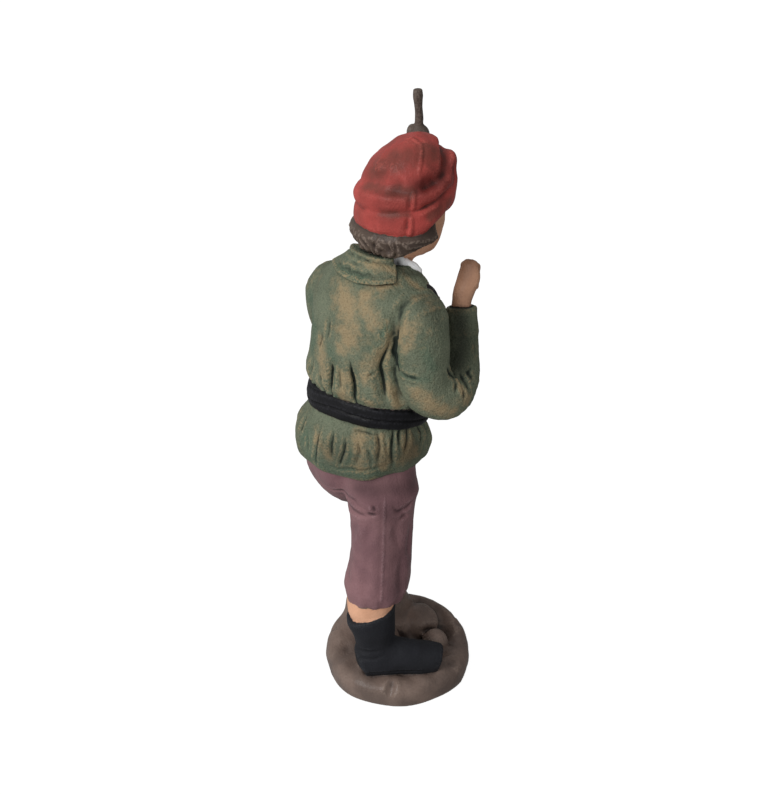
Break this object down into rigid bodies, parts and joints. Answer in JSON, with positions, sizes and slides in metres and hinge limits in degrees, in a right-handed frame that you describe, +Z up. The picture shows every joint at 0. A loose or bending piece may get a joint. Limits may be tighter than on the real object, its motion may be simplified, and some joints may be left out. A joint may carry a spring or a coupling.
{
  "type": "hunter figurine",
  "caption": "Painted cast figurine of a standing hunter in cap, sashed jacket, breeches and boots, with an upright gun, one foot raised on a rock, on a round rocky base.",
  "frame": {"origin": "centre of the base's flat underside", "axes": "+Z up through the standing figure, -Y the way the chest looks, -X the side of the figure's right hand"},
  "size_m": [0.0392, 0.0345, 0.1254],
  "materials": {
    "painted_cast": "hand-painted in matt colours with a brown wash"
  },
  "bodies": {
    "root": {"hunter": "painted_cast"}
  },
  "joints": []
}
